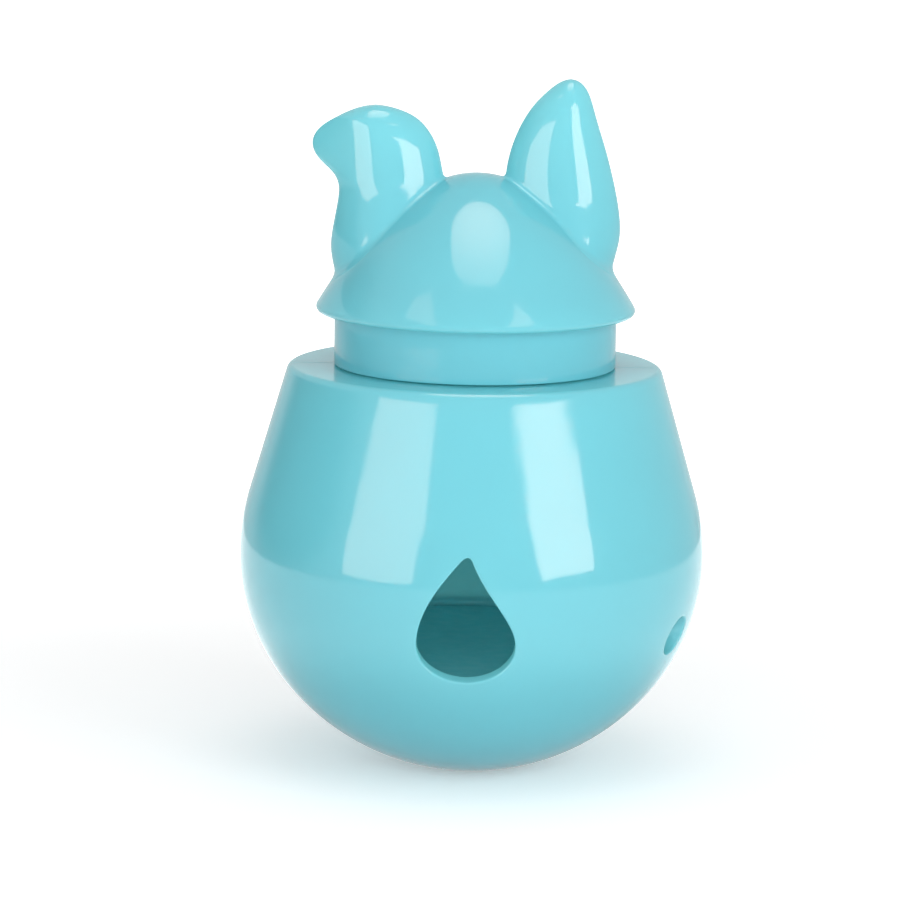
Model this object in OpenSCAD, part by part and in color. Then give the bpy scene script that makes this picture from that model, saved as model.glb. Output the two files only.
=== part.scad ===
// Slow feeder toy: a weighted roly-poly body that drops kibble through two outlets,
// closed by a screw-on hat with two ears. Millimetres, +Z up, front faces -Y.
// The origin is the middle of the small pad that the toy stands on.

/* [Body] */
// Widest diameter of the round body
body_d = 72; // [68:1:80]
// How much longer the base's radius is than the belly's widest radius
base_extra = 1; // [0.4:0.1:3]
// Distance of the belly arc's centre from the upright axis
belly_offset = 3.5; // [1:0.5:8]
// Angle of the tapered side from upright
side_taper = 16.3; // [13:0.1:19]
// Height of the flat shoulder above the table
shoulder_h = 63; // [59:1:67]
// Diameter of the low pad that the toy stands on, measured across its corners
foot_d = 11; // [8:1:13]
// How far that pad stands out below the round base
foot_step = 0.3; // [0.2:0.1:0.6]
// Rounding of the shoulder's edge
shoulder_round = 1.1; // [0.5:0.1:1.8]
// Thickness of the body's moulded wall
wall = 2; // [1.6:0.1:2.6]
// Depth of the lap by which one half shell reaches into the other
seam_lap = 1.6; // [1:0.1:3]

/* [Outlets] */
// Width of the drop-shaped front outlet
drop_w = 14.7; // [10:0.1:18]
// Height of the drop's bulb below its widest line
drop_bulb_h = 6; // [4:0.1:6.2]
// Height of the drop's tip above its widest line
drop_tip_h = 14; // [9:0.1:17]
// Height of the drop's widest line on the body
drop_z = 25.7; // [25:0.1:30]
// Sideways place of the drop's middle
drop_x = -0.8; // [-2:0.1:2]
// Downward tilt of the drop's cut, about square to the wall there
drop_tilt = 15; // [5:1:20]
// Diameter of the small round side outlet
side_hole_d = 5.8; // [4:0.1:8]
// Height of the side outlet's centre
side_hole_z = 23.8; // [23.5:0.1:30]
// Distance of the side outlet's centre in front of the seam
side_hole_front = 14; // [10:0.5:20]

/* [Weight and floor] */
// Height of the chamber floor's top
floor_h = 19; // [17:0.1:19.5]
// Thickness of the chamber floor
floor_t = 2; // [1.6:0.1:2.6]
// How far the band that traps the floor's edge stands in from the wall
band_w = 1.6; // [1:0.1:2.5]
// Height of the band above and below the floor's edge
band_lip = 1.2; // [1:0.1:1.6]
// Height of the counterweight's flat top
weight_h = 11.5; // [9:0.1:13]
// Diameter of the boss under the floor that the counterweight hangs on
boss_d = 10; // [8:0.5:14]
// Diameter of the counterweight's screw
weight_screw_d = 4; // [3:0.1:5]
// Diameter of that screw's head
weight_head_d = 8; // [7:0.1:9]
// Height of that screw's head
weight_head_h = 2.4; // [2:0.1:3]
// Length of that screw below its head
weight_screw_len = 10.5; // [8:0.1:11]
// How far the head lies sunk in the counterweight's underside
weight_head_sink = 0.6; // [0.2:0.1:1]

/* [Neck and lid closure] */
// Bore of the filling neck
neck_bore_d = 31.6; // [28:0.1:34]
// Thickness of the neck's wall
neck_wall = 1.8; // [1.4:0.1:2.4]
// Height of the neck above the shoulder
neck_h = 7.2; // [6:0.1:9]
// Room between the neck and the lid's inner cup, where the threads lie
thread_room = 0.9; // [0.6:0.1:1.4]
// Thickness of the inner cup's wall
liner_wall = 1.5; // [1.2:0.1:2]
// Thickness of the inner cup's ceiling
liner_top_t = 1.6; // [1.2:0.1:2.4]
// How far the inner cup's foot stays above the collar's
liner_lift = 0.6; // [0.3:0.1:1.5]
// Width of the step inside the hat that rests on the inner cup's edge
liner_ledge = 1; // [0.6:0.1:2]
// Thickness of the seal ring on the neck's rim
seal_t = 1.2; // [0.8:0.1:2]

/* [Lid] */
// Thickness of the collar's wall
collar_wall = 1.6; // [1.2:0.1:2.2]
// Height of the collar below the brim
collar_h = 8.1; // [7:0.1:9]
// Gap between the collar's foot and the shoulder
collar_gap = 0.2; // [0.2:0.05:0.8]
// How far the brim stands out from the collar
brim_reach = 2.85; // [2:0.05:4]
// Rounding of the brim's edge
brim_round = 0.75; // [0.5:0.05:1.2]
// Angle of the hat's straight lower flank from upright
flank_angle = 33; // [28:1:34]
// Slope length of that straight flank
flank_len = 8; // [6:0.1:8.4]
// Radius of the hat's top
apex_round = 16; // [12:0.5:18]
// Slope at which the hat's top passes into its longer side curve
apex_turn = 30; // [24:1:34]
// Thickness of the hat's wall
lid_wall = 2; // [1.6:0.1:2.4]

/* [Ears] */
// Distance of each ear's screw from the axis
ear_screw_x = 13; // [11.5:0.5:14.5]
// Diameter of the ear screws
ear_screw_d = 3; // [2.4:0.1:3.6]
// Length of an ear screw below its head
ear_screw_len = 14; // [10:0.5:16]
// Diameter of an ear screw's head
ear_head_d = 6.4; // [5:0.1:7]
// Height of an ear screw's head
ear_head_h = 2; // [1.6:0.1:2.6]
// Wall left round an ear screw's head seat
ear_pad_rim = 0.8; // [0.4:0.1:1.5]

/* [Hidden] */
// Smoothness of round forms
$fn = 96;
// Assembly clearance between moulded pieces
fit = 0.15;
// Overlap used where a cut has to pass a surface
cut = 1;
// Degrees between the points of an arc
arc_step = 4;
// How deep the seam lip is rooted in its own shell
lip_root = 0.5;
// Corners of the foot pad, few so that it stands firmly
foot_sides = 12;

turquoise = [0.49, 0.84, 0.88];
pale_turquoise = [0.62, 0.88, 0.90];
iron = [0.33, 0.34, 0.36];
steel = [0.72, 0.73, 0.75];
silicone = [0.90, 0.93, 0.94];

// Body arcs: a round base, a belly arc tangent to it and a straight tapered side
body_r = body_d / 2;
base_r = body_r + base_extra;
base_z = sqrt(pow(base_r, 2) - pow(foot_d / 2, 2));
belly_r = body_r - belly_offset;
belly_drop = sqrt(pow(base_extra + belly_offset, 2) - pow(belly_offset, 2));
belly_z = base_z - belly_drop;
belly_angle = -atan2(belly_drop, belly_offset);

// Weight compartment
floor_under = floor_h - floor_t;
weight_hole_d = weight_screw_d + 2 * fit;
weight_bottom = wall + 2 * fit;
head_recess = weight_head_h + weight_head_sink;
weight_screw_seat = weight_bottom + head_recess;
weight_screw_tip = weight_screw_seat + weight_screw_len;

// Neck, inner cup and collar, each fitted round the one before
neck_r = neck_bore_d / 2 + neck_wall;
neck_top = shoulder_h + neck_h;
liner_bore_r = neck_r + thread_room;
liner_r = liner_bore_r + liner_wall;
collar_bore_r = liner_r + fit;
collar_r = collar_bore_r + collar_wall;
collar_z = shoulder_h + collar_gap;
liner_z = collar_z + liner_lift;
liner_under = neck_top + seal_t;
liner_top = liner_under + liner_top_t;

// Hat arcs: brim edge, straight flank, side curve and rounded top
brim_r = collar_r + brim_reach;
brim_under = collar_z + collar_h;
brim_z = brim_under + brim_round;
brim_mid_r = brim_r - brim_round;
flank_low = [brim_mid_r + brim_round * cos(flank_angle), brim_z + brim_round * sin(flank_angle)];
flank_high = flank_low + flank_len * [-sin(flank_angle), cos(flank_angle)];
crown_r = (flank_high[0] - apex_round * sin(apex_turn)) / (cos(flank_angle) - sin(apex_turn));
crown_c = flank_high - crown_r * [cos(flank_angle), sin(flank_angle)];
apex_c = [0, crown_c[1] + (crown_r - apex_round) * cos(apex_turn)];
apex_z = apex_c[1] + apex_round;

// Slope angle of the hat's inner wall at a distance from the axis
function hollow_angle(radius) = acos((radius - crown_c[0]) / (crown_r - lid_wall));

// Ear screws stand on flat pads, set where their heads just clear the hat's inner wall
hollow_r = collar_bore_r - liner_ledge;
ear_pad_r = ear_head_d / 2 + ear_pad_rim;
ear_pad_edge = hollow_angle(ear_screw_x + ear_head_d / 2 + fit);
ear_pad_z = crown_c[1] + (crown_r - lid_wall) * sin(ear_pad_edge);

// Where the drop's flanks bend, as shares of its half width and of its tip's height
drop_right_low = 0.30;
drop_right_high = [0.27, 0.62];
drop_left_low = 0.33;
drop_left_high = [0.63, 0.65];
// Sideways place of the drop's tip
drop_tip_x = 0.3;
// Share of each flank that the rounding of the drop's tip takes up
drop_tip_share = 0.045;

// Ears: height above the hat's top, inner edge, outer edge and half depth at each level
right_ear_form = [[-18.8, 4.6, 20.4, 8.2], [-14, 4.3, 21.0, 8.1], [-11, 4.2, 21.75, 7.6],
                  [-8, 4.2, 22.0, 6.9], [-4, 4.2, 21.5, 5.6], [0, 4.3, 20.6, 5.1],
                  [4, 5.1, 19.5, 4.8], [8, 6.75, 18.2, 4.2], [11.2, 8.95, 17.2, 3.4],
                  [13.3, 11.3, 16.2, 2.3], [14.3, 12.8, 15.1, 1.1], [14.6, 14, 14, 0]];
left_ear_form = [[-18.8, 4.6, 20.9, 8.2], [-14.5, 4.6, 22.0, 8.1], [-11.5, 4.6, 22.45, 7.7],
                 [-8, 4.7, 22.05, 6.9], [-4, 4.8, 21.45, 5.8], [-1, 5.2, 21.7, 5.4],
                 [1.3, 5.7, 24.1, 5.3], [3.8, 6.3, 25.55, 5.1], [6.2, 7.6, 24.5, 4.4],
                 [8.2, 9.4, 21.9, 3.5], [9.6, 12.4, 18.9, 2.1], [10.2, 15.8, 15.8, 0]];
ear_rings = 18;
ear_sides = 24;

// Points along an arc, a few degrees apart, without its first point when joined on to another
function arc(centre, radius, from, to, joined = 0) =
    let (steps = ceil(abs(to - from) / arc_step))
    [for (k = [joined:steps]) centre + radius * [cos(from + (to - from) * k / steps),
                                                 sin(from + (to - from) * k / steps)]];

function reversed(points) = [for (k = [len(points) - 1:-1:0]) points[k]];

// Outline of the body from its flat underside to its flat shoulder, drawn in by inset
function body_outline(inset) =
    let (base = base_r - inset, belly = belly_r - inset, edge_z = shoulder_h - inset - shoulder_round,
         side = [belly_offset + belly * cos(side_taper), belly_z + belly * sin(side_taper)],
         edge_r = side[0] - (edge_z - side[1]) * tan(side_taper) - shoulder_round / cos(side_taper))
    concat(arc([0, base_z], base, asin((max(inset, foot_step) - base_z) / base), belly_angle),
           arc([belly_offset, belly_z], belly, belly_angle, side_taper, joined = 1),
           arc([edge_r, edge_z], shoulder_round, side_taper, 90));

// Radius of the lower belly at a height, drawn in by inset
function belly_at(height, inset) =
    belly_offset + sqrt(pow(belly_r - inset, 2) - pow(height - belly_z, 2));

// Section of the body's wall with its neck
function wall_section() =
    concat([[0, foot_step]], body_outline(0),
           [[neck_r, shoulder_h], [neck_r, neck_top], [neck_bore_d / 2, neck_top],
            [neck_bore_d / 2, shoulder_h - wall]],
           reversed(body_outline(wall)), [[0, wall]]);

// Section of a ring inside the wall between two heights, reaching inset from the outside
function ring_section(low, high, inset) =
    [[belly_at(low, wall / 2), low], [belly_at(high, wall / 2), high],
     [belly_at(high, inset), high], [belly_at(low, inset), low]];

// Half of the body: its wall, its half of the foot pad and the two rings that trap the floor's edge
module half_body() {
    rotate_extrude(angle = 180)
        polygon(wall_section());
    linear_extrude((foot_step + wall) / 2)
        polygon([for (k = [0:foot_sides / 2])
                     let (turn = 360 * k / foot_sides) foot_d / 2 * [cos(turn), sin(turn)]]);
    rotate_extrude(angle = 180)
        polygon(ring_section(floor_under - band_lip, floor_under - fit, wall + band_w));
    rotate_extrude(angle = 180)
        polygon(ring_section(floor_h + fit, floor_h + band_lip, wall + band_w));
}

// The space inside an outline drawn in by inset, as a plate from the seam forwards
module seam_plate(inset, depth)
    rotate([90, 0, 0])
        linear_extrude(depth)
            polygon(concat(body_outline(inset), [for (p = reversed(body_outline(inset))) [-p[0], p[1]]]));

// Point at t, from 0 to 1, on the curve that four points draw
function bezier(p, t) =
    pow(1 - t, 3) * p[0] + 3 * t * pow(1 - t, 2) * p[1] + 3 * t * t * (1 - t) * p[2] + pow(t, 3) * p[3];

// Drop outline: a flattened round bulb, one full flank and one that draws in towards the tip
module drop_outline() {
    half = drop_w / 2;
    tip = [drop_tip_x, drop_tip_h];
    right = [[half, 0], [half, drop_right_low * drop_tip_h],
             [drop_right_high[0] * half, drop_right_high[1] * drop_tip_h], tip];
    left = [tip, [-drop_left_high[0] * half, drop_left_high[1] * drop_tip_h],
            [-half, drop_left_low * drop_tip_h], [-half, 0]];
    steps = 18;
    span = 1 - drop_tip_share;
    right_end = bezier(right, span);
    left_end = bezier(left, 1 - span);
    rounding = [right_end, (right_end + 2 * tip) / 3, (left_end + 2 * tip) / 3, left_end];
    tip_steps = 4;
    polygon([
        for (k = [0:steps]) [half * cos(180 + 180 * k / steps), drop_bulb_h * sin(180 + 180 * k / steps)],
        for (k = [1:steps]) bezier(right, span * k / steps),
        for (k = [1:tip_steps]) bezier(rounding, k / tip_steps),
        for (k = [1:steps - 1]) bezier(left, 1 - span + span * k / steps)]);
}

// The front outlet's cutter, square to the wall, with the tip upwards
module drop_cutter() {
    reach = 3 * wall + band_w + cut;
    face_y = -sqrt(pow(base_r, 2) - pow(base_z - drop_z, 2));
    translate([drop_x, face_y, drop_z])
        rotate([90 + drop_tilt, 0, 0])
            translate([0, 0, -reach])
                linear_extrude(2 * reach)
                    drop_outline();
}

// The side outlet's cutter, drawn out to the right
module side_cutter()
    translate([body_r / 2, -side_hole_front, side_hole_z])
        rotate([0, 90, 0])
            cylinder(d = side_hole_d, h = body_r);

// Front half shell with both outlets, rebated inside along the seam
module front_shell()
    color(turquoise)
        difference() {
            rotate([0, 0, 180])
                half_body();
            seam_plate(wall / 2, seam_lap);
            drop_cutter();
            side_cutter();
        }

// Rear half shell, whose lip fills the front half's rebate
module rear_shell()
    color(turquoise) {
        half_body();
        difference() {
            translate([0, lip_root, 0])
                seam_plate(wall / 2 + fit, seam_lap - fit + lip_root);
            translate([0, 2 * lip_root, 0])
                seam_plate(wall, seam_lap + 3 * lip_root);
            translate([0, 0, shoulder_h - 2 * wall])
                cylinder(d = neck_bore_d, h = 3 * wall);
        }
    }

// Chamber floor with a screw boss below it
module floor_disc()
    color(pale_turquoise)
        difference() {
            union() {
                rotate_extrude()
                    polygon([[0, floor_under], [belly_at(floor_under, wall + fit), floor_under],
                             [belly_at(floor_h, wall + fit), floor_h], [0, floor_h]]);
                translate([0, 0, weight_h])
                    cylinder(d = boss_d, h = floor_under - weight_h + floor_t / 2);
            }
            translate([0, 0, weight_h - cut])
                cylinder(d = weight_hole_d, h = weight_screw_tip - weight_h + cut + fit);
        }

// Cast weight shaped to the round base, bored for its screw
module counterweight()
    color(iron)
        difference() {
            intersection() {
                translate([0, 0, base_z])
                    sphere(r = base_r - weight_bottom);
                translate([-body_r, -body_r, weight_bottom])
                    cube([body_d, body_d, weight_h - weight_bottom]);
            }
            cylinder(d = weight_hole_d, h = 2 * weight_h);
            translate([0, 0, weight_bottom - cut])
                cylinder(d = weight_head_d + 4 * fit, h = head_recess + cut);
        }

// Screw that hangs the weight on the floor's boss, head downwards
module weight_screw()
    color(steel)
        translate([0, 0, weight_screw_seat]) {
            translate([0, 0, -weight_head_h])
                cylinder(d = weight_head_d, h = weight_head_h);
            translate([0, 0, -weight_head_h / 2])
                cylinder(d = weight_screw_d, h = weight_screw_len + weight_head_h / 2);
        }

// Flat ring between the neck's rim and the inner cup
module lid_seal()
    color(silicone)
        translate([0, 0, neck_top])
            difference() {
                cylinder(r = liner_bore_r - fit, h = seal_t);
                translate([0, 0, -cut])
                    cylinder(d = neck_bore_d, h = seal_t + 2 * cut);
            }

// Inner cup that screws over the neck and closes the hat from below
module lid_liner()
    color(pale_turquoise)
        difference() {
            translate([0, 0, liner_z])
                cylinder(r = liner_r, h = liner_top - liner_z);
            translate([0, 0, liner_z - cut])
                cylinder(r = liner_bore_r, h = liner_under - liner_z + cut);
        }

// Outline of the hat's top and side curve, drawn in by inset, down to a slope angle
function hat_outline(inset, low_angle) =
    concat(arc(apex_c, apex_round - inset, 90, 90 - apex_turn),
           arc(crown_c, crown_r - inset, 90 - apex_turn, low_angle, joined = 1));

// Outline of the hat's outside, down to the underside of its brim
function hat_outside() =
    concat(hat_outline(0, flank_angle), arc([brim_mid_r, brim_z], brim_round, flank_angle, -90));

// The hat as a solid, which cuts the ears' seats
module hat_solid()
    rotate_extrude()
        polygon(concat(hat_outside(), [[0, brim_under]]));

// Hat with its brim and collar, hollow above the inner cup
module lid_cap()
    color(turquoise)
        difference() {
            union() {
                rotate_extrude()
                    polygon(concat(hat_outside(),
                                   [[collar_r, brim_under], [collar_r, collar_z], [collar_bore_r, collar_z],
                                    [collar_bore_r, liner_top], [hollow_r, liner_top]],
                                   reversed(hat_outline(lid_wall, hollow_angle(hollow_r)))));
                intersection() {
                    hat_solid();
                    for (side = [-1, 1])
                        translate([side * ear_screw_x, 0, ear_pad_z])
                            cylinder(r = ear_pad_r, h = apex_z - ear_pad_z);
                }
            }
            for (side = [-1, 1])
                translate([side * ear_screw_x, 0, ear_pad_z - cut])
                    cylinder(d = ear_screw_d + 2 * fit, h = apex_z);
        }

// Smooth value through a list of levels at a place t between its first and last entry
function level(form, i) = form[max(0, min(len(form) - 1, i))];
function through(form, t) =
    let (i = min(floor(t), len(form) - 2), s = t - i,
         a = level(form, i - 1), b = level(form, i), c = level(form, i + 1), d = level(form, i + 2))
    b + 0.5 * s * (c - a + s * (2 * a - 5 * b + 4 * c - d + s * (3 * (b - c) + d - a)));

// One ear as a loft of level ellipses, closed at its tip, side -1 for left and 1 for right
module ear_loft(form, side) {
    last = len(form) - 1;
    rings = [for (k = [0:ear_rings - 1]) through(form, last * k / ear_rings)];
    tip = form[last];
    points = [
        for (ring = rings)
            for (j = [0:ear_sides - 1])
                let (turn = side * 360 * j / ear_sides)
                [side * ((ring[1] + ring[2]) / 2 + (ring[2] - ring[1]) / 2 * cos(turn)),
                 side * ring[3] * sin(turn), apex_z + ring[0]],
        [side * tip[1], 0, apex_z + tip[0]]];
    apex = ear_rings * ear_sides;
    low = [for (j = [0:ear_sides - 1]) j];
    sides = [
        for (k = [0:ear_rings - 2])
            for (j = [0:ear_sides - 1])
                let (n = (j + 1) % ear_sides, a = k * ear_sides, b = a + ear_sides)
                each [[a + j, b + j, b + n], [a + j, b + n, a + n]]];
    top = [for (j = [0:ear_sides - 1]) [apex - ear_sides + j, apex, apex - ear_sides + (j + 1) % ear_sides]];
    polyhedron(points, concat([low], sides, top));
}

// Ear seated on the hat, with a pilot hole for its screw
module ear(form, side)
    color(turquoise)
        difference() {
            ear_loft(form, side);
            hat_solid();
            translate([side * ear_screw_x, 0, ear_pad_z])
                cylinder(d = ear_screw_d + fit, h = ear_screw_len + fit);
        }

module left_ear()
    ear(left_ear_form, -1);

module right_ear()
    ear(right_ear_form, 1);

// The two screws that hold the ears from inside the hat
module ear_screws()
    color(steel)
        for (side = [-1, 1])
            translate([side * ear_screw_x, 0, ear_pad_z]) {
                translate([0, 0, -ear_head_h])
                    cylinder(d = ear_head_d, h = ear_head_h);
                translate([0, 0, -ear_head_h / 2])
                    cylinder(d = ear_screw_d, h = ear_screw_len + ear_head_h / 2);
            }

front_shell();
rear_shell();
floor_disc();
counterweight();
weight_screw();
lid_seal();
lid_liner();
lid_cap();
left_ear();
right_ear();
ear_screws();
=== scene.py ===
"""Slow feeder toy: the visual model of a weighted roly-poly body with a screw-on, two-eared hat."""

import math

import bmesh
import bpy
import numpy as np
from bpy.props import FloatProperty, FloatVectorProperty, IntProperty, PointerProperty
from bpy.types import Operator, Panel, PropertyGroup
from mathutils import Matrix, Vector


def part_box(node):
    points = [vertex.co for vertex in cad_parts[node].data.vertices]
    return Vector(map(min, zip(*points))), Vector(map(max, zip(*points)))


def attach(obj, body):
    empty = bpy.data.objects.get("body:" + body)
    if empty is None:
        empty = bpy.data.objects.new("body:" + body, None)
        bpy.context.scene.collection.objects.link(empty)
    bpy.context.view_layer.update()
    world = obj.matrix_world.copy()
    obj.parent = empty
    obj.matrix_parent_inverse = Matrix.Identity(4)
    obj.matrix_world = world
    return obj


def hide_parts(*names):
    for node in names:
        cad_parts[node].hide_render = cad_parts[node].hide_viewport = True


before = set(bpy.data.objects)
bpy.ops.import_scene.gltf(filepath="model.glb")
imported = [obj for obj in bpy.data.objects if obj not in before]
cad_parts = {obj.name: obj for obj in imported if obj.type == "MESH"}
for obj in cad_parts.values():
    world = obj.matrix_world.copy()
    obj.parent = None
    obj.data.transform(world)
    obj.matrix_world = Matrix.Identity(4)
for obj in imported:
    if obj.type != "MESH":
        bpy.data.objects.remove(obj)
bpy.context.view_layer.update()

bl_info = {
    "name": "Slow Feeder Toy",
    "version": (1, 0, 0),
    "blender": (4, 5, 0),
    "location": "View3D > Sidebar > Feeder",
    "description": "Builds the visual model of a roly-poly slow feeder toy around its packed frame",
    "category": "Object",
}

MM = 0.001
TINY = 1e-9
BODY_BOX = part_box("rear_shell")
HAT_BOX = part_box("lid_cap")
CUP_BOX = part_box("lid_liner")
SEAL_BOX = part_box("lid_seal")

# Ears: height above the hat's top, inner edge, outer edge and half depth at each level, in millimetres
RIGHT_EAR_FORM = (
    (-18.8, 4.6, 20.4, 8.8), (-14, 4.3, 21.0, 8.6), (-11, 4.2, 21.75, 7.95), (-8, 4.2, 22.0, 7.0),
    (-4, 4.2, 21.5, 5.7), (0, 4.3, 20.6, 5.1), (4, 5.1, 19.5, 4.6), (8, 6.75, 18.2, 3.95),
    (11.2, 8.95, 17.2, 3.15), (13.3, 11.3, 16.2, 2.15), (14.3, 12.8, 15.1, 1.1), (14.6, 14, 14, 0),
)
LEFT_EAR_FORM = (
    (-18.8, 4.6, 20.9, 8.8), (-14.5, 4.6, 22.0, 8.6), (-11.5, 4.6, 22.45, 8.0), (-8, 4.7, 22.05, 7.0),
    (-4, 4.8, 21.45, 5.75), (-1, 5.2, 21.7, 4.95), (1.3, 5.7, 24.1, 4.75), (3.8, 6.3, 25.55, 4.5),
    (6.2, 7.6, 24.5, 4.1), (8.2, 9.4, 21.9, 3.4), (9.6, 12.4, 18.9, 2.2), (10.2, 15.8, 15.8, 0),
)


# Sizes and finishes

def length(name, description, default):
    """A size in metres that a user may change."""
    return FloatProperty(name=name, description=description, default=default, unit="LENGTH", precision=5)


def angle(name, description, degrees):
    """An angle that a user may change, given here in degrees."""
    return FloatProperty(name=name, description=description, default=math.radians(degrees), subtype="ANGLE")


def share(name, description, default):
    """A value from 0 to 1 that a user may change."""
    return FloatProperty(name=name, description=description, default=default, min=0, max=1,
                         subtype="FACTOR")


def paint(name, description, default):
    """A colour that a user may change."""
    return FloatVectorProperty(name=name, description=description, default=default, size=3, min=0, max=1,
                               subtype="COLOR")


class FeederBody(PropertyGroup):
    """Sizes of the round body and its outlets."""
    radius: length("Radius", "Widest radius of the body", BODY_BOX[1].x)
    neck_top: length("Neck Top", "Height of the filling neck's rim", BODY_BOX[1].z)
    neck_height: length("Neck Height", "How far the neck stands above the shoulder", 7.2 * MM)
    neck_radius: length("Neck Radius", "Outer radius of the neck", 17.6 * MM)
    neck_bore: length("Neck Bore", "Inner radius of the neck", 15.8 * MM)
    base_extra: length("Base Extra", "How much longer the base's radius is than the belly's", 1 * MM)
    belly_offset: length("Belly Offset", "Distance of the belly arc's centre from the axis", 3.5 * MM)
    side_taper: angle("Side Taper", "Angle of the tapered side from upright", 16.3)
    foot_radius: length("Foot Radius", "Radius of the low pad that the toy stands on", 5.5 * MM)
    foot_step: length("Foot Step", "How far the pad stands out below the round base", 0.3 * MM)
    foot_sides: IntProperty(name="Foot Sides", description="Corners of the foot pad", default=12, min=6)
    shoulder_round: length("Shoulder Round", "Rounding of the shoulder's edge", 1.1 * MM)
    small_round: length("Small Round", "Rounding of the neck's edges", 0.3 * MM)
    wall: length("Wall", "Thickness of the moulded wall", 2 * MM)
    seam_groove: length("Seam Groove", "Depth of the fine groove along the seam", 0.12 * MM)
    ring_width: length("Ring Width", "How far the rings that hold the floor stand in", 1.6 * MM)
    floor_top: length("Floor Top", "Height of the chamber floor", 19 * MM)
    floor_thickness: length("Floor Thickness", "Thickness of the chamber floor", 2 * MM)
    ring_height: length("Ring Height", "Height of each ring", 1.2 * MM)
    fit: length("Fit", "Clearance between moulded pieces", 0.15 * MM)
    drop_width: length("Drop Width", "Width of the drop-shaped outlet", 14.7 * MM)
    drop_bulb: length("Drop Bulb", "Height of the drop below its widest line", 6 * MM)
    drop_tip: length("Drop Tip", "Height of the drop's tip above its widest line", 14 * MM)
    drop_lean: length("Drop Lean", "Sideways place of the drop's tip beside its middle", 0.3 * MM)
    drop_tip_share: share("Drop Tip Share", "Share of each flank that the tip's rounding takes", 0.09)
    drop_height: length("Drop Height", "Height of the drop's widest line", 25.7 * MM)
    drop_side: length("Drop Side", "Sideways place of the drop", -0.8 * MM)
    drop_tilt: angle("Drop Tilt", "Downward tilt of the drop's cut", 15)
    hole_radius: length("Hole Radius", "Radius of the side outlet", 2.9 * MM)
    hole_height: length("Hole Height", "Height of the side outlet", 23.8 * MM)
    hole_front: length("Hole Front", "Distance of the side outlet in front of the seam", 14 * MM)
    rim_round: length("Rim Round", "Rounding of the outlets' outer edges", 0.35 * MM)
    rim_round_inside: length("Inner Rim Round", "Rounding of the outlets' inner edges", 0.15 * MM)


class FeederLid(PropertyGroup):
    """Sizes of the hat, its closure and its ears."""
    foot: length("Foot", "Height of the collar's foot", HAT_BOX[0].z)
    brim_radius: length("Brim Radius", "Radius of the brim's edge", HAT_BOX[1].x)
    collar_height: length("Collar Height", "Height of the collar below the brim", 8.1 * MM)
    collar_radius: length("Collar Radius", "Outer radius of the collar", 21.75 * MM)
    collar_bore: length("Collar Bore", "Inner radius of the collar", 20.15 * MM)
    brim_round: length("Brim Round", "Rounding of the brim's edge", 0.75 * MM)
    small_round: length("Small Round", "Rounding of the collar's edges", 0.15 * MM)
    flank_angle: angle("Flank Angle", "Mean angle of the hat's flank from upright", 33)
    flank_bow: angle("Flank Bow", "How far the flank's angle turns to each end", 2)
    flank_length: length("Flank Length", "Slope length of that flank", 8 * MM)
    apex_round: length("Apex Round", "Radius of the hat's top", 14.7 * MM)
    apex_turn: angle("Apex Turn", "Slope at which the top passes into the side curve", 30)
    wall: length("Wall", "Thickness of the hat's wall", 2 * MM)
    ledge: length("Ledge", "Width of the step that rests on the inner cup", 1 * MM)
    cup_bore: length("Cup Bore", "Inner radius of the inner cup", 18.5 * MM)
    cup_ceiling: length("Cup Ceiling", "Thickness of the inner cup's ceiling", 1.6 * MM)
    thread_start: length("Thread Start", "Height of the neck's thread above the shoulder", 1.4 * MM)
    thread_lead: length("Thread Lead", "Rise of the thread in one turn", 6 * MM)
    thread_height: length("Thread Height", "How far a thread ridge stands out", 0.7 * MM)
    thread_width: length("Thread Width", "Width of a thread ridge at its root", 1.3 * MM)
    thread_crest: share("Thread Crest", "Width of a ridge's crest as a share of its root", 0.4)
    thread_soft: length("Thread Soft", "Rounding of a ridge's edges", 0.12 * MM)
    thread_turn: angle("Thread Turn", "How far round each ridge runs", 300)
    thread_starts: IntProperty(name="Thread Starts", description="Number of thread ridges", default=2, min=1)
    ear_column: length("Ear Column", "Outer edge of an ear's column, past which it is bent", 21.7 * MM)
    ear_bend: length("Ear Bend", "Height above the hat's top from which an ear may be bent", -3 * MM)
    ear_blend: length("Ear Blend", "Size of the soft fillet at an ear's root", 0.9 * MM)


class FeederFinish(PropertyGroup):
    """Colours and gloss of the materials."""
    shell: paint("Shell", "Colour of the glossy shell plastic", (0.192, 0.652, 0.766))
    inner: paint("Inner", "Colour of the satin inner plastic", (0.23, 0.62, 0.69))
    silicone: paint("Silicone", "Colour of the seal", (0.78, 0.83, 0.84))
    iron: paint("Iron", "Colour of the cast weight", (0.09, 0.092, 0.10))
    zinc: paint("Zinc", "Colour of the plated screws", (0.62, 0.63, 0.66))
    shell_roughness: share("Shell Roughness", "Mean roughness of the shell plastic", 0.08)
    shell_passing: share("Shell Light", "Share of light that passes into the shell plastic", 0.3)
    inner_roughness: share("Inner Roughness", "Mean roughness of the inner plastic", 0.44)


class FeederStage(PropertyGroup):
    """Camera, fill light and floor."""
    lens: FloatProperty(name="Lens", description="Focal length in millimetres", default=171.4, min=1)
    camera_place: FloatVectorProperty(name="Camera Place", description="Where the camera stands", size=3,
                                      default=(-3.6 * MM, -655.37 * MM, 162.33 * MM), subtype="TRANSLATION")
    camera_pitch: angle("Camera Pitch", "How far the camera looks down", 9.76)
    camera_roll: angle("Camera Roll", "How far the picture is turned", 0.93)
    fill: FloatProperty(name="Fill", description="Strength of the light from all round", default=0.5, min=0)
    floor_colour: paint("Floor", "Colour of the floor", (0.9, 0.9, 0.9))


# Shared helpers

def around(radius, turn, z):
    """Point at a distance from the axis, an angle from the front and a height."""
    return Vector((radius * math.sin(turn), -radius * math.cos(turn), z))


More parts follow.
